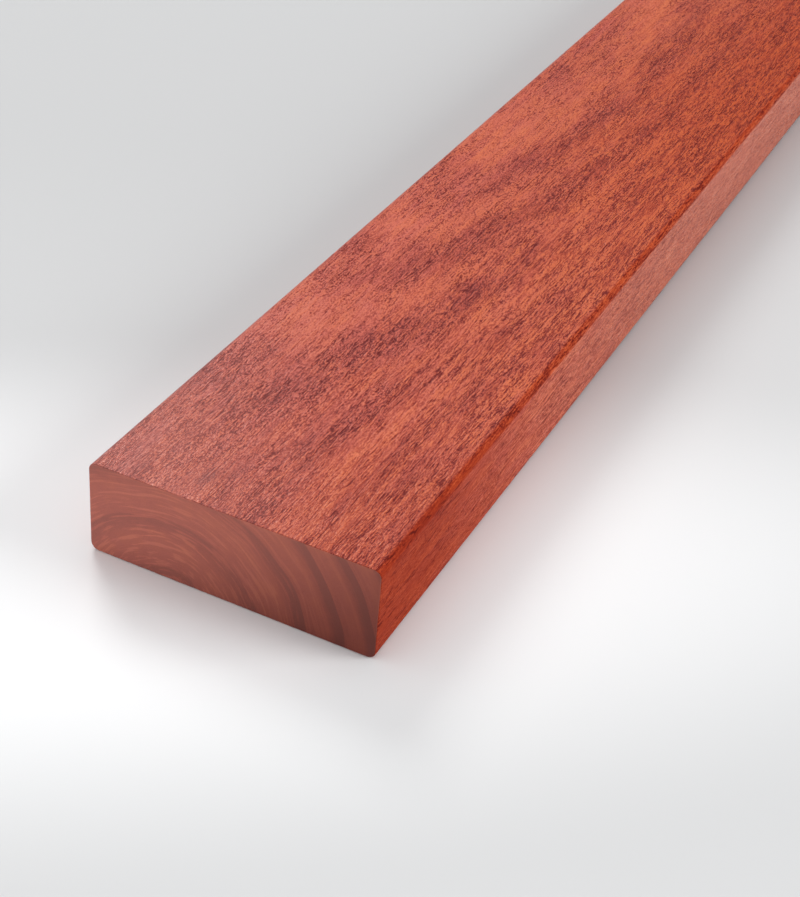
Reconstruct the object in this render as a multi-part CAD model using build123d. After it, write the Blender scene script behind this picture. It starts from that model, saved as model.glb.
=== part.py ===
"""A planed hardwood board, one solid piece of stock.

The board is sawn from a log, planed on all four sides and cross-cut square at both ends. Its four long
arrises are rounded by the planer's cutters. The edges of the two ends come from the saw, so they are crisp
apart from a light break made with sandpaper.

Frame, in millimetres: X runs across the width, Y along the grain and Z up through the thickness. The origin
is the middle of the underside, so the board lies on the plane Z = 0 with its bark side up.
"""

from build123d import *

import os

# The planed section and the length that the stock is cut to
BOARD_LENGTH = 1800.0
BOARD_WIDTH = 90.0
BOARD_THICKNESS = 30.0

# The edges
ARRIS_RADIUS = 2.5
END_BREAK = 0.3


def planed_section():
    """The section across the grain at the near end: a rectangle that stands on Z = 0, with rounded arrises."""
    near_end = Plane(origin=(0, -BOARD_LENGTH / 2, BOARD_THICKNESS / 2), x_dir=(1, 0, 0), z_dir=(0, 1, 0))
    return near_end * RectangleRounded(BOARD_WIDTH, BOARD_THICKNESS, ARRIS_RADIUS)


def cross_cut_board():
    """The planed section run along the grain and cut to length, with the saw's sharp edges lightly broken."""
    stock = extrude(planed_section(), amount=BOARD_LENGTH)
    ends = stock.faces().filter_by(Plane.XZ)
    return chamfer(ends.edges(), END_BREAK)


PIECES = {"board": cross_cut_board}


def main():
    os.makedirs("parts", exist_ok=True)
    for node, make in PIECES.items():
        export_step(make(), os.path.join("parts", node + ".step"))


main()
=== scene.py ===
"""The looks of a planed hardwood board: its surface, its oiled red-brown wood and a pale studio around it."""

import math
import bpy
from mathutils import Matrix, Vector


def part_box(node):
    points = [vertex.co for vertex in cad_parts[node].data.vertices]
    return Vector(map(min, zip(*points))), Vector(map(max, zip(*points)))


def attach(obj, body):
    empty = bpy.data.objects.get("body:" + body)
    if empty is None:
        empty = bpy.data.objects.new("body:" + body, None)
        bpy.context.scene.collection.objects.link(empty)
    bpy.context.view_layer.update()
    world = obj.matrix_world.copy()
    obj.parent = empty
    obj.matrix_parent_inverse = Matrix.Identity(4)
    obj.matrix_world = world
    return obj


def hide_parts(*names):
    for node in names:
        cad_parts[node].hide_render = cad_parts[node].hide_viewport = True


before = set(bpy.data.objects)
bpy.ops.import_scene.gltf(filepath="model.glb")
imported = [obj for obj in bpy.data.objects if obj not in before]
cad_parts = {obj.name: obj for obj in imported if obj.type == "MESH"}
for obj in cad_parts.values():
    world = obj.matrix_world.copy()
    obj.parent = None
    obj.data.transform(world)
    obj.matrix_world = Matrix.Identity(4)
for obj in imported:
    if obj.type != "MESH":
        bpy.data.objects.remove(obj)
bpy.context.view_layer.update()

from types import SimpleNamespace

import bpy
import numpy as np
from mathutils import Vector

MM = 0.001
TURN = 2 * math.pi

# The board's own sizes, in metres, worked out from the frame
LOW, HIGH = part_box("board")
WIDTH = HIGH.x - LOW.x
LENGTH = HIGH.y - LOW.y
THICKNESS = HIGH.z - LOW.z
ARRIS_RADIUS = 0.0025
END_BREAK = 0.0003

# Half of the flat stretch between two arrises
HALF_FLAT_ACROSS = WIDTH / 2 - ARRIS_RADIUS
HALF_FLAT_UP = THICKNESS / 2 - ARRIS_RADIUS

# How finely the surface is divided
CELLS_ACROSS = 88
CELLS_ALONG = 370
CELLS_UP = 36
CELLS_ARRIS = 8

# The planer and the raised grain leave long shallow hollows, which run out shortly before the ends
RELIEF = 0.00006
HOLLOW_WIDTH = 5 * MM
HOLLOW_LENGTH = 90 * MM
HOLLOW_CONTRAST = (0.42, 0.68)
RELIEF_RUN_OUT = 0.004

# The saw tears the edges of an end unevenly, and each end in its own way
TEAR_SIZE = 3 * MM
TEAR_DEPTH = 2.0
ENDS_APART = 7.0

# Two faces that meet at more than this angle, in degrees, meet in a crisp edge
CRISP_ANGLE = 25

# Keeps a division away from zero
SMALLEST = 1e-9


def linear(red, green, blue):
    """A colour given as it looks on a screen, 0 to 255, as the linear colour that a shader takes."""
    parts = [part / 255 for part in (red, green, blue)]
    return [p / 12.92 if p <= 0.04045 else ((p + 0.055) / 1.055) ** 2.4 for p in parts] + [1.0]


# Building node trees: a field is one output socket, and arithmetic on fields adds the nodes that do it
def feed(value, socket):
    """Gives a socket its value: another field by a link, anything else as its own constant."""
    if isinstance(value, Field):
        socket.id_data.links.new(value.socket, socket)
    else:
        socket.default_value = value


def step(tree, kind, settings=None, inputs=None):
    """A new node with its settings and its inputs, which are given by name or by number."""
    made = tree.nodes.new(kind)
    for name, value in (settings or {}).items():
        setattr(made, name, value)
    for name, value in (inputs or {}).items():
        feed(value, made.inputs[name])
    return made


class Field:
    """A number or a vector that varies over the surface."""

    def __init__(self, socket):
        self.socket = socket
        self.tree = socket.id_data

    def math(self, operation, *others, first=None):
        values = (first, self, *others) if first is not None else (self, *others)
        inputs = dict(enumerate(values))
        return Field(step(self.tree, "ShaderNodeMath", {"operation": operation}, inputs).outputs[0])

    def __add__(self, other):
        return self.math("ADD", other)

    __radd__ = __add__

    def __sub__(self, other):
        return self.math("SUBTRACT", other)

    def __rsub__(self, other):
        return self.math("SUBTRACT", first=other)

    def __mul__(self, other):
        return self.math("MULTIPLY", other)

    def __truediv__(self, other):
        return self.math("DIVIDE", other)

    def least(self, other):
        return self.math("MINIMUM", other)

    def most(self, other):
        return self.math("MAXIMUM", other)

    def size(self):
        return self.math("ABSOLUTE")

    def sign(self):
        return self.math("SIGN")

    def to_power(self, other):
        return self.math("POWER", other)

    def above(self, other):
        return self.math("GREATER_THAN", other)

    def sine(self):
        return self.math("SINE")

    def fraction(self):
        return self.math("FRACT")

    def within(self, low, high):
        return self.most(low).least(high)

    def ramp(self, start, end, low=0.0, high=1.0):
        """Rises smoothly from low to high as this field goes from start to end."""
        inputs = {"Value": self, "From Min": start, "From Max": end, "To Min": low, "To Max": high}
        settings = {"interpolation_type": "SMOOTHSTEP"}
        return Field(step(self.tree, "ShaderNodeMapRange", settings, inputs).outputs["Result"])

    def parts(self):
        split = step(self.tree, "ShaderNodeSeparateXYZ", None, {0: self})
        return [Field(socket) for socket in split.outputs]


def hypotenuse(a, b):
    return (a * a + b * b).math("SQRT")


def joined(x, y, z):
    """A vector field from three numbers, of which at least one is a field."""
    tree = next(part.tree for part in (x, y, z) if isinstance(part, Field))
    return Field(step(tree, "ShaderNodeCombineXYZ", None, {0: x, 1: y, 2: z}).outputs[0])


def noise(place, detail, roughness=0.5, seed=0.0):
    """Smooth noise from 0 to 1 with features about one unit apart. A seed moves to another part of it."""
    inputs = {"Vector": place, "W": seed, "Scale": 1.0, "Detail": detail, "Roughness": roughness}
    made = step(place.tree, "ShaderNodeTexNoise", {"noise_dimensions": "4D"}, inputs)
    return Field(made.outputs[0])


def grain_noise(place, width, length, detail=1, roughness=0.5, seed=0):
    """Noise drawn out along the grain, with features of this width across it and this length along it."""
    x, along, z = place
    return noise(joined(x / width, along / length, z / width), detail, roughness, seed)


def blended(share, one, other, way="MIX"):
    """One colour turning into another, or another way of mixing them, by the share from 0 to 1."""
    settings = {"data_type": "RGBA", "blend_type": way, "clamp_factor": True}
    made = step(share.tree, "ShaderNodeMix", settings, {0: share, 6: one, 7: other})
    return Field(made.outputs[2])


def stained(share, colour, stain):
    """A colour seen through a stain, by the share from 0 to 1."""
    return blended(share, colour, stain, "MULTIPLY")


# The board's surface, as a Geometry Nodes tree
def named_inputs(tree, sizes):
    """Adds a named number input for each size, and returns its fields and the identifier of each socket."""
    tree.interface.new_socket("Surface", in_out="OUTPUT", socket_type="NodeSocketGeometry")
    identifiers = {}
    for name in sizes:
        made = tree.interface.new_socket(name, in_out="INPUT", socket_type="NodeSocketFloat")
        identifiers[name] = made.identifier
    group = tree.nodes.new("NodeGroupInput")
    return {name: Field(group.outputs[name]) for name in sizes}, identifiers


def spaced(place, half, arris, cells, inset):
    """Moves evenly spaced lines so that more of them run over each arris. The inset narrows the section."""
    share = place / half
    arris_share = 2 * CELLS_ARRIS / cells
    flat = share.size().least(1 - arris_share) / (1 - arris_share) * (half - arris)
    turned = (share.size() - (1 - arris_share)).most(0.0) / arris_share * (arris - inset)
    return share.sign() * (flat + turned)


def rounded(x, z, half_width, half_thickness, arris):
    """Draws the corner squares of the section in to quarter circles."""
    inner_x = x.sign() * x.size().least(half_width - arris)
    inner_z = z.sign() * z.size().least(half_thickness - arris)
    out_x, out_z = x - inner_x, z - inner_z
    draw = out_x.size().most(out_z.size()) / hypotenuse(out_x, out_z).most(SMALLEST)
    return inner_x + out_x * draw, inner_z + out_z * draw


def planed_section(tree, size):
    """A box of cells drawn into the section with its round arrises, and with broken edges at its ends."""
    half_width, half_length, half_thickness = (
        size[name] * 0.5 for name in ("Width", "Length", "Thickness")
    )
    cells = {"Vertices X": CELLS_ACROSS + 1, "Vertices Y": CELLS_ALONG + 1, "Vertices Z": CELLS_UP + 1}
    across = joined(size["Width"], size["Length"], size["Thickness"])
    box = step(tree, "GeometryNodeMeshCube", None, {"Size": across, **cells})
    x, y, z = Field(step(tree, "GeometryNodeInputPosition").outputs[0]).parts()

    # The last row of cells at each end is the break that takes the sharpness off the saw's edge
    stretch = (half_length - size["End Break"]) / (half_length * (1 - 2 / CELLS_ALONG))
    along = y.sign() * (y.size() * stretch).least(half_length)
    torn = noise(joined(x / TEAR_SIZE, y.sign() * ENDS_APART, z / TEAR_SIZE), detail=3)
    at_end = y.size().above(half_length * (1 - 1 / CELLS_ALONG))
    inset = at_end * size["End Break"] * (torn * TEAR_DEPTH)
    arris = size["Arris Radius"]
    section_x = spaced(x, half_width, arris, CELLS_ACROSS, inset)
    section_z = spaced(z, half_thickness, arris, CELLS_UP, inset)
    around_x, around_z = rounded(section_x, section_z, half_width, half_thickness, arris)
    shaped = joined(around_x, along, around_z + half_thickness)
    return step(tree, "GeometryNodeSetPosition", None,
                {"Geometry": Field(box.outputs["Mesh"]), "Position": shaped})


def with_relief(tree, size, drawn):
    """Lowers the softer wood between the growth zones by a few hundredths of a millimetre."""
    x, y, z = Field(step(tree, "GeometryNodeInputPosition").outputs[0]).parts()
    half_length = size["Length"] * 0.5
    hollow = grain_noise((x, y, z), HOLLOW_WIDTH, HOLLOW_LENGTH, detail=2, seed=4)
    run_out = y.size().ramp(half_length, half_length - RELIEF_RUN_OUT)
    depth = hollow.ramp(*HOLLOW_CONTRAST) * size["Relief"] * run_out
    normal = Field(step(tree, "GeometryNodeInputNormal").outputs[0])
    inward = step(tree, "ShaderNodeVectorMath", {"operation": "SCALE"}, {0: normal, "Scale": 0 - depth})
    return step(tree, "GeometryNodeSetPosition", None,
                {"Geometry": Field(drawn.outputs[0]), "Offset": Field(inward.outputs[0])})


def board_tree(material, sizes):
    """The planed surface with its relief, shaded smooth except at the edges of the ends."""
    tree = bpy.data.node_groups.new("planed_board_surface", "GeometryNodeTree")
    size, identifiers = named_inputs(tree, sizes)
    eased = with_relief(tree, size, planed_section(tree, size))
    smooth = step(tree, "GeometryNodeSetShadeSmooth", None, {0: Field(eased.outputs[0])})
    angle = Field(step(tree, "GeometryNodeInputMeshEdgeAngle").outputs["Unsigned Angle"])
    corner = angle.above(math.radians(CRISP_ANGLE))
    crisp = step(tree, "GeometryNodeSetShadeSmooth", {"domain": "EDGE"},
                 {0: Field(smooth.outputs[0]), "Selection": corner, "Shade Smooth": False})
    realized = step(tree, "GeometryNodeRealizeInstances", None, {0: Field(crisp.outputs[0])})
    dressed = step(tree, "GeometryNodeSetMaterial", None, {"Geometry": Field(realized.outputs[0])})
    dressed.inputs["Material"].default_value = material
    step(tree, "NodeGroupOutput", None, {0: Field(dressed.outputs[0])})
    return tree, identifiers


def made_by(name, tree, identifiers, sizes):
    """Runs a Geometry Nodes tree once and returns its result as a plain mesh object."""
    carrier = bpy.data.objects.new(name + "_maker", bpy.data.meshes.new(name + "_maker"))
    bpy.context.scene.collection.objects.link(carrier)
    maker = carrier.modifiers.new("maker", "NODES")
    maker.node_group = tree
    for size, value in sizes.items():
        maker[identifiers[size]] = value
    ready = carrier.evaluated_get(bpy.context.evaluated_depsgraph_get())
    mesh = bpy.data.meshes.new_from_object(ready)
    mesh.name = name
    piece = bpy.data.objects.new(name, mesh)
    bpy.context.scene.collection.objects.link(piece)
    carrier.modifiers.remove(maker)
    bpy.data.objects.remove(carrier)
    return piece


# The wood, in millimetres: x across from the middle, along from the near end and z up from the underside.
# A pair of numbers for a stretch says where it starts and where it is full.

# The end is a sawn surface, the face is all the rest, and the edge is the narrow side of the face. The right
# half starts over the first of these stretches, and the roundness of an arris counts over the second.
RIGHT_HALF = (0, 10)
ARRIS_START = (0.02, 0.4)

# How far the fibres bend from side to side, and their share of it up and down
BEND = 2.4
BEND_UP = 0.7


def wood_place(tree):
    """Where in the board a point is, straight and along the bent fibres, and on which surface it lies."""
    place = Field(step(tree, "ShaderNodeTexCoord").outputs["Object"])
    x, y, z = (part / MM for part in place.parts())
    along = y + LENGTH / MM / 2
    bend = (grain_noise((x, along, z), width=12, length=90, detail=2, seed=2) - 0.5) * BEND
    end = y.size().above((LENGTH - END_BREAK) / MM / 2)
    face = 1 - end
    past_x = (x.size() - HALF_FLAT_ACROSS / MM).most(0.0)
    past_z = ((z - THICKNESS / MM / 2).size() - HALF_FLAT_UP / MM).most(0.0)
    return SimpleNamespace(
        x=x, y=y, z=z, along=along, straight=(x, along, z),
        fibres=(x + bend, along, z + bend * BEND_UP),
        end=end, face=face, right=x.ramp(*RIGHT_HALF),
        arris=(past_x * past_z / (ARRIS_RADIUS / MM) ** 2).ramp(*ARRIS_START) * face,
        edge=x.size().ramp(HALF_FLAT_ACROSS / MM, WIDTH / 2 / MM) * face,
    )


def soft_shades(at):
    """Clouds and long streaks that follow the fibres, and two changes of hue, a fine one and a slow one."""
    return SimpleNamespace(
        cloud=grain_noise(at.fibres, width=10, length=28, detail=3, roughness=0.6, seed=5) - 0.5,
        streak=grain_noise(at.fibres, width=2.6, length=30, detail=3, roughness=0.65, seed=3) - 0.5,
        hue=grain_noise(at.fibres, width=4, length=20, detail=3, roughness=0.6, seed=9),
        drift=grain_noise(at.straight, width=50, length=200, seed=6),
    )


# The heart of the tree at the near end, and how far it moves away over the first stretch of the board
HEART = (-18.0, -8.0)
HEART_DRIFT = (-16.0, -5.0)
DRIFT_LENGTH = 40.0

# The growth zones: how far out the first one starts, their mean width, and how that grows and shrinks
FIRST_RING = 28.0
RING_WIDTH = 12.3
WIDER_RINGS = 3.3
RING_CYCLE = 76.0
RING_WANDER = 5.0
LEFT_OF_HEART = 0.78

# The zones rise and fall this far, in a wave that goes on by one radian over this length
SWEEP = 51.0
SWEEP_LENGTH = 214.0


def growth_rings(at):
    """Counts the growth zones out from the heart, which lies below the board's left half.

    The heart drifts away from the near end and the zones rise and fall along the tree, so that they sweep
    over the faces in long flames. Also returns how far from the heart it is, and at which angle.
    """
    drifted = 1 - (0 - at.along / DRIFT_LENGTH).math("EXPONENT")
    heart_x = drifted * HEART_DRIFT[0] + HEART[0]
    heart_z = drifted * HEART_DRIFT[1] + HEART[1]
    wander = grain_noise(at.straight, width=26, length=130, seed=1) - 0.5
    from_heart = at.x - heart_x
    from_heart = from_heart.most(0.0) + from_heart.least(0.0) * LEFT_OF_HEART
    radius = hypotenuse(from_heart, at.z - heart_z) + wander * RING_WANDER
    out = radius - (at.along / SWEEP_LENGTH).sine() * SWEEP - FIRST_RING
    around = (at.z - heart_z).math("ARCTAN2", from_heart)
    return (out - (out * (TURN / RING_CYCLE)).sine() * WIDER_RINGS) / RING_WIDTH, radius, around


# The streaks feather the borders of the zones half as much as the clouds do, which also make them patchy
BORDER_STREAKS = 0.5
ZONE_CLOUDS = 1.3
ZONE_MIDDLE = 0.85
ZONE_LIMITS = (0.35, 1)

# The dark zones are wider than the pale ones, fade on the edges and are weak right of the middle
ZONE_POWER = 0.8
ZONE_ON_EDGE = 0.6
PLAIN_RIGHT = (4, 30)
PLAIN_SHARE = 0.7

# The flames gain and lose strength along the board, and start weaker at the near end
FADE_SLANT = 1.5
FADE_START = 150
FADE_CYCLE = 420
FADE_MIDDLE = 0.75
FADE_SWING = 0.2
FLAME_START = (-60, 80)

# A thin broken crest, darker still, lies an eighth of a zone beyond the middle of each dark zone
CREST_SHIFT = 0.12
CREST_CLOUDS = 0.6
CREST_STREAKS = 0.4
CREST_BORDER = (0.9, 1.0)
CREST_BREAKS = 2.5
CREST_SHARE = 0.35

# On a sawn end a zone darkens slowly outwards and ends sharply, in shares of its width
LATE_WOOD = (0.45, 0.93)
LATE_WOOD_END = (0.95, 1.0)

# The pale arcs of a sawn end are thin, broken now and then, and fade away from the heart
ARC_WIDTH = 1.05
ARC_BREAKS = 2.5
ARC_DRIFT = 0.1
ARC_CONTRAST = (0.48, 0.62)
ARCS_FADE = (60, 20, 0.3, 1.0)


def growth_figure(at, soft):
    """Growth zones: flames with feathered borders on the faces, and crisper arcs on the sawn ends."""
    rings, radius, around = growth_rings(at)
    feathered = rings + (soft.cloud + soft.streak * BORDER_STREAKS) * at.face
    wave = (feathered * TURN + TURN / 4).sine() * 0.5 + 0.5
    patchy = (soft.cloud * ZONE_CLOUDS + ZONE_MIDDLE).within(*ZONE_LIMITS)
    figured = 1 - at.x.ramp(*PLAIN_RIGHT) * PLAIN_SHARE * at.face
    zone = (wave.to_power(ZONE_POWER) - 0.5) * patchy * figured * (1 - at.edge * ZONE_ON_EDGE)
    slanted = (at.along + at.x * FADE_SLANT - FADE_START) * (TURN / FADE_CYCLE) + TURN / 4
    fading = slanted.sine() * FADE_SWING + FADE_MIDDLE
    shifted = rings + (soft.cloud * CREST_CLOUDS + soft.streak * CREST_STREAKS)
    crest = (shifted * TURN + TURN * CREST_SHIFT).sine().ramp(*CREST_BORDER)
    unbroken = (soft.streak * CREST_BREAKS + CREST_SHARE).within(0, 1)
    ring = rings.fraction()
    broken = joined(radius / ARC_WIDTH, around * ARC_BREAKS, at.y * ARC_DRIFT)
    arcs = noise(broken, detail=2, roughness=0.6, seed=13).ramp(*ARC_CONTRAST)
    return SimpleNamespace(
        zone=zone,
        flame=zone * fading * at.along.ramp(*FLAME_START),
        crest=crest * unbroken * figured * at.face,
        late_wood=ring.ramp(*LATE_WOOD) * (1 - ring.ramp(*LATE_WOOD_END)) * at.end,
        arcs=arcs * radius.ramp(*ARCS_FADE) * at.end,
    )


# How sharply fibres, threads and vessels stand out of their noise, and where the wood is rugged or mottled
FIBRE_CONTRAST = (0.36, 0.64)
THREAD_CONTRAST = (0.3, 0.7)
VESSEL_CONTRAST = (0.57, 0.66)
RUGGED_CONTRAST = (0.3, 0.62)
MOTTLE_CONTRAST = (0.54, 0.66)
RUGGED_LEAST = 0.6
RUGGED_RANGE = 0.6

# Where the vessels gather, and the limits to how thickly they stand
VESSELS_IN_CLOUDS = 1.3
VESSELS_IN_STREAKS = 1.9
VESSELS_IN_ZONES = 0.7
VESSELS_ON_CRESTS = 0.6
VESSELS_ANYWHERE = 0.44
VESSEL_LIMITS = (0.04, 1.2)

# The right half has longer lines and less grit, its near corner is calmer, and all is rougher farther along
LONGER_LINES = (-20, 30, 0.7, 1.0)
GRIT_SHARE = -1.06
GRIT_LOSS = 0.40
FIBRE_SHARE = -0.58
THREAD_SHARE = -0.54
CALM_ACROSS = (-10, 30)
CALM_ALONG = (100, 40)
CALM_SHARE = 0.3
CALM_EDGE_ALONG = (140, 60)
CALM_EDGE_SHARE = 0.45
ROUGHER_ALONG = (50, 130, 1.0, 1.18)

# Small soft dark spots gather away from the near end, first on the edges
SPOTTED_EDGE_ALONG = (40, 240)
SPOTTED_EDGE_SHARE = 0.2
SPOTTED_FACE_ALONG = (120, 320)
SPOTTED_FACE_SHARE = 0.14


def fibres_and_vessels(at, soft, figure):
    """The fibres, and the open vessels among them: short dark lines on the faces, fine dots on the ends."""
    grit = grain_noise(at.fibres, width=0.33, length=0.9, seed=11).ramp(*FIBRE_CONTRAST) - 0.5
    fibre = grain_noise(at.fibres, width=0.36, length=4, seed=7).ramp(*FIBRE_CONTRAST) - 0.5
    thread = grain_noise(at.fibres, width=0.9, length=18, detail=3, roughness=0.6, seed=8)
    thread = thread.ramp(*THREAD_CONTRAST) - 0.5
    pore = grain_noise(at.fibres, width=0.5, length=4.5, seed=10).ramp(*VESSEL_CONTRAST)
    grouped = soft.cloud * VESSELS_IN_CLOUDS + soft.streak * VESSELS_IN_STREAKS
    grouped = grouped + figure.zone * VESSELS_IN_ZONES + figure.crest * VESSELS_ON_CRESTS + VESSELS_ANYWHERE
    rugged = grain_noise(at.fibres, width=7, length=22, detail=2, seed=12).ramp(*RUGGED_CONTRAST)
    rugged = rugged * RUGGED_RANGE + RUGGED_LEAST

    # The strokes that fibres, threads and grit leave on the surface
    lines = at.x.ramp(*LONGER_LINES)
    strokes = grit * (GRIT_SHARE + lines * GRIT_LOSS) + fibre * lines * FIBRE_SHARE
    strokes = strokes + thread * lines * THREAD_SHARE
    calm = at.x.ramp(*CALM_ACROSS) * at.along.ramp(*CALM_ALONG) * CALM_SHARE
    calm_edge = at.edge * at.along.ramp(*CALM_EDGE_ALONG) * CALM_EDGE_SHARE
    strokes = strokes * rugged * (1 - calm) * (1 - calm_edge) * at.along.ramp(*ROUGHER_ALONG)

    mottle = grain_noise(at.fibres, width=1.2, length=6, detail=2, roughness=0.6, seed=14)
    edge_share = at.edge * at.along.ramp(*SPOTTED_EDGE_ALONG) * SPOTTED_EDGE_SHARE
    face_share = (1 - at.edge) * at.along.ramp(*SPOTTED_FACE_ALONG) * SPOTTED_FACE_SHARE
    return SimpleNamespace(
        grit=grit, fibre=fibre, thread=thread, rugged=rugged, strokes=strokes,
        vessel=pore * grouped.within(*VESSEL_LIMITS),
        mottle=mottle.ramp(*MOTTLE_CONTRAST) * (edge_share + face_share) * at.face,
    )


# How deep the wood's shade is in the middle, from 0, the palest, to 1, the darkest, and what each part adds
MIDDLE_DEPTH = 0.49
FLAME_DEPTH = 0.36
CLOUD_DEPTH = 0.25
STREAK_DEPTH = 0.3
CREST_DEPTH = 0.2
LATE_WOOD_DEPTH = (0, 40, 0.36, 0.85)
ARC_PALENESS = 0.52

# The strokes and the vessels show less on the ends than on the faces
STROKES_ON_ENDS = 0.16
VESSEL_DEPTH_ON_ENDS = 0.08
VESSEL_DEPTH_ADDED_ON_FACES = 0.56

# A dark fleck by the near end, a pale stripe on the right, a paler left side and a darker near end
FLECK_PLACE = (-14, 11)
FLECK_REACH = (3.5, 8)
FLECK_BORDER = (1.0, 0.2)
FLECK_DEPTH = 0.34
STRIPE_PLACE = 17
STRIPE_BORDER = (2, 9)
STRIPE_ALONG = (290, 180)
STRIPE_PALENESS = 0.12
PALE_SIDE_ACROSS = (2, 32)
PALE_SIDE_ALONG = (40, 100)
PALE_SIDE_PALENESS = 0.25
NEAR_END_ALONG = (90, 10)
NEAR_END_DEPTH = 0.07
EDGE_PALENESS = 0.05


def depth_of_shade(at, soft, figure, texture):
    """How deep the wood's shade is, from 0 to 1."""
    across, along = at.x - FLECK_PLACE[0], at.along - FLECK_PLACE[1]
    fleck = hypotenuse(across / FLECK_REACH[0], along / FLECK_REACH[1]).ramp(*FLECK_BORDER)
    stripe = (1 - (at.x - STRIPE_PLACE).size().ramp(*STRIPE_BORDER)) * at.along.ramp(*STRIPE_ALONG)
    pale_side = (0 - at.x).ramp(*PALE_SIDE_ACROSS) * at.along.ramp(*PALE_SIDE_ALONG)
    depth = figure.flame * FLAME_DEPTH + soft.cloud * CLOUD_DEPTH * at.face + soft.streak * STREAK_DEPTH
    depth = depth + figure.late_wood * at.x.ramp(*LATE_WOOD_DEPTH) - figure.arcs * ARC_PALENESS
    depth = depth + MIDDLE_DEPTH + figure.crest * CREST_DEPTH
    depth = depth + (fleck * FLECK_DEPTH - stripe * STRIPE_PALENESS) * at.face
    depth = depth + texture.strokes * (at.face * (1 - STROKES_ON_ENDS) + STROKES_ON_ENDS)
    depth = depth + texture.vessel * (at.face * VESSEL_DEPTH_ADDED_ON_FACES + VESSEL_DEPTH_ON_ENDS)
    depth = depth - pale_side * PALE_SIDE_PALENESS * at.face
    depth = depth + at.along.ramp(*NEAR_END_ALONG) * NEAR_END_DEPTH * at.face + texture.mottle
    return (depth - at.edge * at.along.ramp(*SPOTTED_EDGE_ALONG) * EDGE_PALENESS).within(0, 1)


def in_shades(depth, stops):
    """A colour from a row of shades, each with its place from 0, the palest, to 1, the darkest."""
    ramp = step(depth.tree, "ShaderNodeValToRGB", None, {0: depth})
    while len(ramp.color_ramp.elements) < len(stops):
        ramp.color_ramp.elements.new(0.5)
    for element, (place, colour) in zip(ramp.color_ramp.elements, stops):
        element.position = place
        element.color = colour
    return Field(ramp.outputs["Color"])


ORANGE_WOOD = (
    (0.0, linear(213, 112, 75)), (0.3, linear(195, 92, 61)), (0.55, linear(173, 72, 50)),
    (0.8, linear(147, 54, 40)), (1.0, linear(114, 35, 32)),
)
CRIMSON_WOOD = (
    (0.0, linear(203, 103, 84)), (0.3, linear(184, 83, 69)), (0.55, linear(162, 66, 56)),
    (0.8, linear(136, 49, 44)), (1.0, linear(102, 32, 33)),
)

# What makes the wood more crimson than orange. The board's left is redder, by a share for each millimetre.
HUE_CONTRAST = (0.34, 0.66)
REDDER_BY_HUE = 0.6
REDDER_BY_DRIFT = 0.7
REDDER_LEFT = 0.008
REDDER_IN_ZONES = 0.3
ORANGE_ALONG = (60, 300)
ORANGE_ALONG_SHARE = 0.25
ORANGE_ANYWHERE = 0.08

# Painted sheen: on the left near the end the colour is blended towards a pinkish grey, which stands in for
# the light's reflection there
PAINTED_SHEEN = linear(184, 125, 118)
PAINTED_SHEEN_ACROSS = (50, -50)
PAINTED_SHEEN_SLANT = 0.6
PAINTED_SHEEN_SHARE = 0.36

# Painted shade: farther along, the right half is stained a deeper orange for a stretch, which stands in for a
# weaker sheen reflected there
FAR_RIGHT_PAINTED_SHADE = linear(243, 212, 176)
FAR_RIGHT_SHADE_ACROSS = (-30, 40)
FAR_RIGHT_SHADE_ALONG = (120, 360)
FAR_RIGHT_SHADE_END = (1100, 700)

# A sawn end is duller, which is the end grain's own, and darker towards its right and its foot, which is
# painted shade and partly darker heartwood
SAWN_TINT = linear(204, 135, 121)
SAWN_SHARE = 0.5
END_PAINTED_SHADE = linear(174, 159, 159)
END_SLANT = 1.7
END_MIDDLE = 8
END_PAINTED_SHADE_ACROSS = (-50, 50)

# Painted shade on the right arrises and on the right edge near the end, and a painted sheen that makes the
# edge paler farther along
ARRIS_PAINTED_SHADE = linear(232, 192, 156)
NEAR_EDGE_PAINTED_SHADE = linear(230, 189, 140)
NEAR_EDGE_PAINTED_SHADE_ALONG = (110, 0)
NEAR_EDGE_PAINTED_SHADE_OFF_ARRIS = 0.7
EDGE_PAINTED_SHEEN = linear(204, 128, 109)
EDGE_PAINTED_SHEEN_SHARE = 0.36
EDGE_PAINTED_SHEEN_ALONG = (30, 300)
EDGE_PAINTED_SHEEN_END = (1000, 600)


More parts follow.
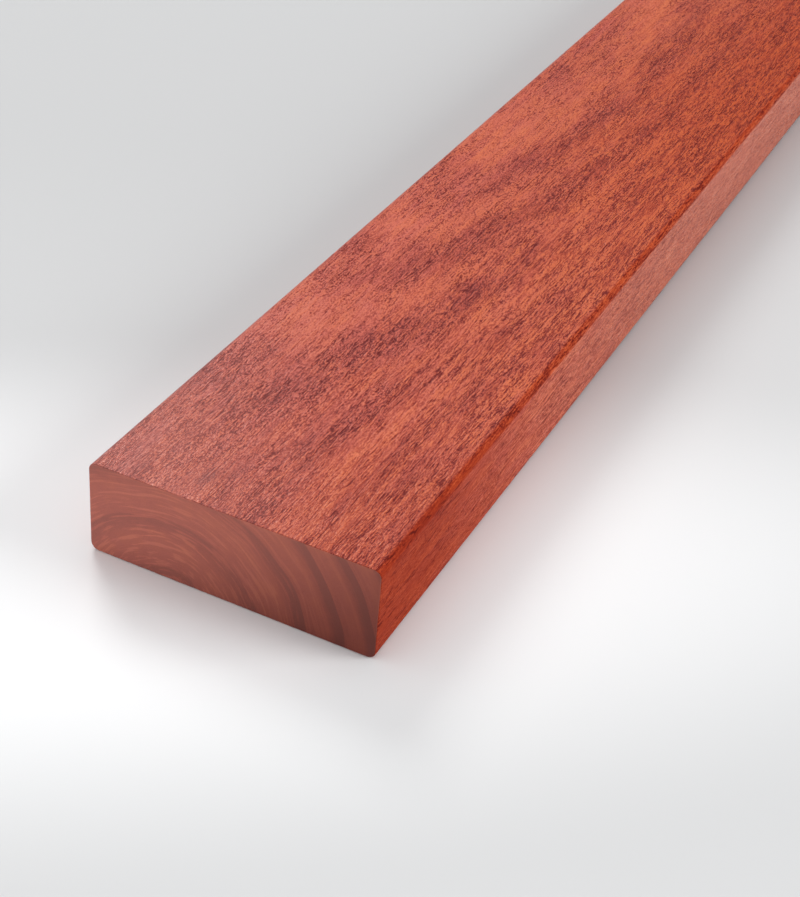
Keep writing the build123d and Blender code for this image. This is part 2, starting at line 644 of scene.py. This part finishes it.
def wood_colour(at, soft, figure, depth):
    """The wood's colour, from orange to crimson, with its changes over the faces, the edges and the ends, and
    painted sheen and painted shade on some of them.
    """
    redness = soft.hue.ramp(*HUE_CONTRAST) * REDDER_BY_HUE + soft.drift * REDDER_BY_DRIFT - at.x * REDDER_LEFT
    redness = redness + figure.zone * REDDER_IN_ZONES
    redness = redness - at.along.ramp(*ORANGE_ALONG) * ORANGE_ALONG_SHARE - ORANGE_ANYWHERE
    orange, crimson = in_shades(depth, ORANGE_WOOD), in_shades(depth, CRIMSON_WOOD)
    colour = blended(redness.within(0, 1), orange, crimson)
    # The painted sheen on the left near the end
    painted_sheen_mask = (at.x + at.along * PAINTED_SHEEN_SLANT).ramp(*PAINTED_SHEEN_ACROSS) * at.face
    colour = blended(painted_sheen_mask * PAINTED_SHEEN_SHARE, colour, PAINTED_SHEEN)
    # Painted shade: a deeper orange on the right farther along
    deep = at.x.ramp(*FAR_RIGHT_SHADE_ACROSS) * at.along.ramp(*FAR_RIGHT_SHADE_ALONG) * at.along.ramp(*FAR_RIGHT_SHADE_END)
    colour = stained(deep * (1 - at.edge) * at.face, colour, FAR_RIGHT_PAINTED_SHADE)
    colour = blended(at.end * SAWN_SHARE, colour, SAWN_TINT)
    # Painted shade on the end, darker towards its right and its foot
    shaded = (at.x - at.z * END_SLANT + END_MIDDLE).ramp(*END_PAINTED_SHADE_ACROSS)
    colour = stained(shaded * at.end, colour, END_PAINTED_SHADE)
    # Painted shade on the right arris
    colour = stained(at.arris * at.right, colour, ARRIS_PAINTED_SHADE)
    # Painted shade on the right edge near the end
    near_edge_painted_shade = at.edge * at.right * at.along.ramp(*NEAR_EDGE_PAINTED_SHADE_ALONG)
    colour = stained(near_edge_painted_shade * (1 - at.arris * NEAR_EDGE_PAINTED_SHADE_OFF_ARRIS), colour, NEAR_EDGE_PAINTED_SHADE)
    # Painted sheen: the right edge is paler farther along
    edge_painted_sheen_mask = at.edge * (1 - at.arris) * at.right * at.along.ramp(*EDGE_PAINTED_SHEEN_ALONG)
    return blended(edge_painted_sheen_mask * at.along.ramp(*EDGE_PAINTED_SHEEN_END) * EDGE_PAINTED_SHEEN_SHARE, colour, EDGE_PAINTED_SHEEN)


# The relief of the fibres and the vessels, in millimetres, which a sawn end hardly shows
GRIT_HEIGHT = 0.02
FIBRE_HEIGHT = 0.05
THREAD_HEIGHT = 0.08
VESSEL_HOLLOW = 0.10
FLATTER_ENDS = 0.95


def raised_grain(at, texture):
    """The vessels are open, and the fibres between them stand up a little."""
    height = texture.grit * GRIT_HEIGHT + texture.fibre * FIBRE_HEIGHT + texture.thread * THREAD_HEIGHT
    height = (height - texture.vessel * VESSEL_HOLLOW) * texture.rugged * (1 - at.end * FLATTER_ENDS)
    bump = step(at.x.tree, "ShaderNodeBump", None, {"Strength": 1.0, "Distance": MM, "Height": height})
    return Field(bump.outputs[0])


# How dull the oil is on a plain face, the limits it keeps to, and its weak and reddish shine
DULLNESS = 0.42
DULLNESS_LIMITS = (0.25, 0.9)
DULLER_VESSELS = 0.3
DULLER_STROKES = 0.35
DULLER_ENDS = 0.2
DULLER_CLOUDS = 0.1
DULLER_ARRIS = (-10, 10, -0.12, 0.3)
DULLER_EDGE_ALONG = (200, 0)
DULLER_EDGE_SHARE = 0.35
OIL_SHINE = 0.16
OIL_SHINE_TINT = (1.0, 0.66, 0.56, 1.0)
OIL_INDEX = 1.5


def oil_dullness(at, soft, texture):
    """How dull the surface is: more so in the vessels and on the ends, and less on the left arris."""
    dull = texture.vessel * DULLER_VESSELS + DULLNESS + texture.strokes * DULLER_STROKES * at.face
    dull = dull + at.end * DULLER_ENDS + soft.cloud * DULLER_CLOUDS + at.arris * at.x.ramp(*DULLER_ARRIS)
    dull = dull + at.edge * at.right * at.along.ramp(*DULLER_EDGE_ALONG) * DULLER_EDGE_SHARE
    return dull.within(*DULLNESS_LIMITS)


def new_material(name):
    """An empty material with its node tree."""
    material = bpy.data.materials.new(name)
    material.use_nodes = True
    material.node_tree.nodes.clear()
    return material, material.node_tree


def oiled_hardwood():
    """One solid wood, read in object space, so that the figure runs on from the faces into the ends."""
    material, tree = new_material("oiled_hardwood")
    at = wood_place(tree)
    soft = soft_shades(at)
    figure = growth_figure(at, soft)
    texture = fibres_and_vessels(at, soft, figure)
    depth = depth_of_shade(at, soft, figure, texture)
    shader = step(tree, "ShaderNodeBsdfPrincipled", None, {
        "Base Color": wood_colour(at, soft, figure, depth), "Roughness": oil_dullness(at, soft, texture),
        "Normal": raised_grain(at, texture), "IOR": OIL_INDEX,
        "Specular IOR Level": OIL_SHINE, "Specular Tint": OIL_SHINE_TINT,
    })
    step(tree, "ShaderNodeOutputMaterial", None, {"Surface": Field(shader.outputs[0])})
    return material


# The studio floor
FLOOR_REACH = 60.0
# Painted shade: the floor's grey is darker behind the board than in front of it
GREY_BEHIND = linear(202, 202, 202)
GREY_IN_FRONT = linear(213, 213, 213)
GREY_CHANGE = (0.0, 0.3)
PAINTED_LIGHT_POOL = linear(246, 246, 246)
FLOOR_DULLNESS = 0.9
FLOOR_SHINE = 0.2

# A painted pool of light: the floor is whitest in a long soft patch across the board's near end
LIGHT_POOL_PLACE = (-0.06, -0.92)
LIGHT_POOL_TURN = math.radians(34.7)
LIGHT_POOL_REACH = (0.33, 0.115)
LIGHT_POOL_BORDER = (1.1, 0.3)


def pale_floor():
    """A pale grey floor, with painted shade that makes it a little darker behind the board, and a painted
    pool of light in a soft white patch around its near end.
    """
    material, tree = new_material("pale_floor")
    x, y, z = Field(step(tree, "ShaderNodeTexCoord").outputs["Object"]).parts()
    x, y = x - LIGHT_POOL_PLACE[0], y - LIGHT_POOL_PLACE[1]
    across = x * math.cos(LIGHT_POOL_TURN) + y * math.sin(LIGHT_POOL_TURN)
    behind = y * math.cos(LIGHT_POOL_TURN) - x * math.sin(LIGHT_POOL_TURN)
    # The painted shade behind the board
    colour = blended(behind.ramp(*GREY_CHANGE), GREY_IN_FRONT, GREY_BEHIND)
    # The painted pool of light around the near end
    away = hypotenuse(across / LIGHT_POOL_REACH[0], behind / LIGHT_POOL_REACH[1])
    colour = blended(away.ramp(*LIGHT_POOL_BORDER), colour, PAINTED_LIGHT_POOL)
    shader = step(tree, "ShaderNodeBsdfPrincipled", None, {
        "Base Color": colour, "Roughness": FLOOR_DULLNESS, "Specular IOR Level": FLOOR_SHINE,
    })
    step(tree, "ShaderNodeOutputMaterial", None, {"Surface": Field(shader.outputs[0])})
    return material


def floor():
    mesh = bpy.data.meshes.new("studio_floor")
    r = FLOOR_REACH
    mesh.from_pydata([(-r, -r, 0), (r, -r, 0), (r, r, 0), (-r, r, 0)], [], [(0, 1, 2, 3)])
    mesh.materials.append(pale_floor())
    made = bpy.data.objects.new("studio_floor", mesh)
    bpy.context.scene.collection.objects.link(made)


# The light: a square softbox overhead, a sheen from behind on the left and a wide light on the right.
# Directions point from the board's near end to the light, with sizes in metres and spreads in degrees.
OVERHEAD_PLACE = Vector((-0.8, 0.4, 2.9))
OVERHEAD_SIZE = 3.2
OVERHEAD_POWER = 29
SHEEN_DIRECTION = Vector((-2.4, 2.56, 2.5))
SHEEN_STRENGTH = 1.2
SHEEN_SPREAD = 21
RIGHT_DIRECTION = Vector((3.2, 1.2, 1.4))
RIGHT_STRENGTH = 2.1
RIGHT_SPREAD = 34

# The surround is brighter low down in front, on the left, which fills the board's near end
SURROUND_LOW = linear(96, 97, 98)
SURROUND_HIGH = linear(168, 170, 172)
SURROUND_RISE = (0.1, 0.8)
FRONT_FILL = (-0.71, -0.66, 0.24)
FRONT_FILL_REACH = (0.3, 1.0)
FRONT_FILL_COLOUR = linear(236, 237, 239)
BACKDROP = linear(196, 197, 198)


def place_light(light, direction):
    """Puts a light in the scene, turned so that it shines against its direction."""
    made = bpy.data.objects.new(light.name, light)
    bpy.context.scene.collection.objects.link(made)
    made.rotation_euler = direction.to_track_quat("Z", "Y").to_euler()
    return made


def softbox(name, place, target, size, power):
    """A square soft light that faces its target."""
    light = bpy.data.lights.new(name, "AREA")
    light.shape = "RECTANGLE"
    light.size, light.size_y = size, size
    light.energy = power
    made = place_light(light, place)
    made.location = target + place
    made.visible_camera = False


def far_light(name, direction, strength, spread):
    """A soft light so far away that it is even all over the studio, and leaves no pool on the floor."""
    light = bpy.data.lights.new(name, "SUN")
    light.energy = strength
    light.angle = math.radians(spread)
    place_light(light, direction)


def pale_surround():
    """The world around the studio, which the camera sees as one pale grey."""
    world = bpy.data.worlds.new("pale_studio")
    bpy.context.scene.world = world
    world.use_nodes = True
    tree = world.node_tree
    east, north, up = Field(step(tree, "ShaderNodeTexCoord").outputs["Generated"]).parts()
    front = east * FRONT_FILL[0] + north * FRONT_FILL[1] + up * FRONT_FILL[2]
    colour = blended(up.ramp(*SURROUND_RISE), SURROUND_LOW, SURROUND_HIGH)
    colour = blended(front.ramp(*FRONT_FILL_REACH), colour, FRONT_FILL_COLOUR)
    seen = Field(step(tree, "ShaderNodeLightPath").outputs["Is Camera Ray"])
    colour = blended(seen, colour, BACKDROP)
    feed(colour, tree.nodes["Background"].inputs["Color"])


def studio_light():
    near_end = Vector((0, LOW.y, THICKNESS))
    softbox("overhead_softbox", OVERHEAD_PLACE, near_end, OVERHEAD_SIZE, OVERHEAD_POWER)
    far_light("sheen_light", SHEEN_DIRECTION, SHEEN_STRENGTH, SHEEN_SPREAD)
    far_light("right_light", RIGHT_DIRECTION, RIGHT_STRENGTH, RIGHT_SPREAD)
    pale_surround()


# The camera, solved from the corners of the board's end and its long edges
CAMERA_PLACE = (0.18777, -1.22568, 0.32238)
CAMERA_TURN = (54.464, -4.318, 26.506)
CAMERA_LENS = 72.085
CAMERA_NEAREST = 0.01


def camera():
    lens = bpy.data.cameras.new("camera")
    lens.lens = CAMERA_LENS
    lens.clip_start = CAMERA_NEAREST
    made = bpy.data.objects.new("camera", lens)
    bpy.context.scene.collection.objects.link(made)
    made.location = CAMERA_PLACE
    made.rotation_euler = [math.radians(part) for part in CAMERA_TURN]
    bpy.context.scene.camera = made


# The map for baking: the board is unrolled from the middle of its underside and cut in half, which gives two
# long strips, one above the other, and its two ends lie side by side over them
STRIP_HEIGHT = 0.40
STRIP_MARGIN = 0.012
END_STRETCH = 4.4
NEAR_END_MIDDLE = 0.25
FAR_END_BEYOND = 0.5


def unrolled(x, z):
    """How far round the section each point is, from the middle of the underside past the right side."""
    up = z - THICKNESS / 2
    over_x = np.maximum(np.abs(x) - HALF_FLAT_ACROSS, 0)
    over_z = np.maximum(np.abs(up) - HALF_FLAT_UP, 0)
    turned = np.arctan2(over_z, over_x) * ARRIS_RADIUS
    quarter = HALF_FLAT_UP + TURN / 4 * ARRIS_RADIUS + HALF_FLAT_ACROSS
    climbed = np.minimum(np.abs(up), HALF_FLAT_UP) + turned
    climbed = climbed + HALF_FLAT_ACROSS - np.minimum(np.abs(x), HALF_FLAT_ACROSS)
    right = np.where(up < 0, quarter - climbed, quarter + climbed)
    left = np.where(up < 0, 3 * quarter + climbed, 3 * quarter - climbed)
    return np.where(x > 0, right, left), 4 * quarter


def lay_out_for_baking(piece):
    """Gives the board its map, in which each face keeps to the strip or the end that its middle is on."""
    mesh = piece.data
    corners, faces = len(mesh.loops), len(mesh.polygons)
    points = np.empty(len(mesh.vertices) * 3)
    mesh.vertices.foreach_get("co", points)
    of_corner = np.empty(corners, int)
    mesh.loops.foreach_get("vertex_index", of_corner)
    x, y, z = points.reshape(-1, 3)[of_corner].T
    middles, sizes = np.empty(faces * 3), np.empty(faces, int)
    mesh.polygons.foreach_get("center", middles)
    mesh.polygons.foreach_get("loop_total", sizes)
    middle_x, middle_y, middle_z = np.repeat(middles.reshape(-1, 3), sizes, axis=0).T

    # The four sides
    round_it, whole = unrolled(x, z)
    middle_round, whole = unrolled(middle_x, middle_z)
    round_it = round_it + whole * np.round((middle_round - round_it) / whole)
    far_half = middle_y > 0
    run = 1 - 2 * STRIP_MARGIN
    u = STRIP_MARGIN + (y + np.where(far_half, 0, LENGTH / 2)) / (LENGTH / 2) * run
    v = STRIP_MARGIN + round_it / whole * STRIP_HEIGHT + far_half * (STRIP_HEIGHT + STRIP_MARGIN)

    # The two ends
    at_end = np.abs(middle_y) > LENGTH / 2 - END_BREAK / 4
    end_u = NEAR_END_MIDDLE + far_half * FAR_END_BEYOND + x * END_STRETCH
    end_v = 2 * STRIP_HEIGHT + 3 * STRIP_MARGIN + z * END_STRETCH
    layout = np.stack([np.where(at_end, end_u, u), np.where(at_end, end_v, v)], axis=1)
    mesh.uv_layers.new(name="OFBake").data.foreach_set("uv", layout.ravel())


def main():
    sizes = {"Width": WIDTH, "Length": LENGTH, "Thickness": THICKNESS,
             "Arris Radius": ARRIS_RADIUS, "End Break": END_BREAK, "Relief": RELIEF}
    tree, identifiers = board_tree(oiled_hardwood(), sizes)
    board = made_by("planed_board", tree, identifiers, sizes)
    lay_out_for_baking(board)
    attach(board, "root")
    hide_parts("board")
    floor()
    studio_light()
    camera()
    bpy.context.scene.view_settings.view_transform = "Standard"


main()
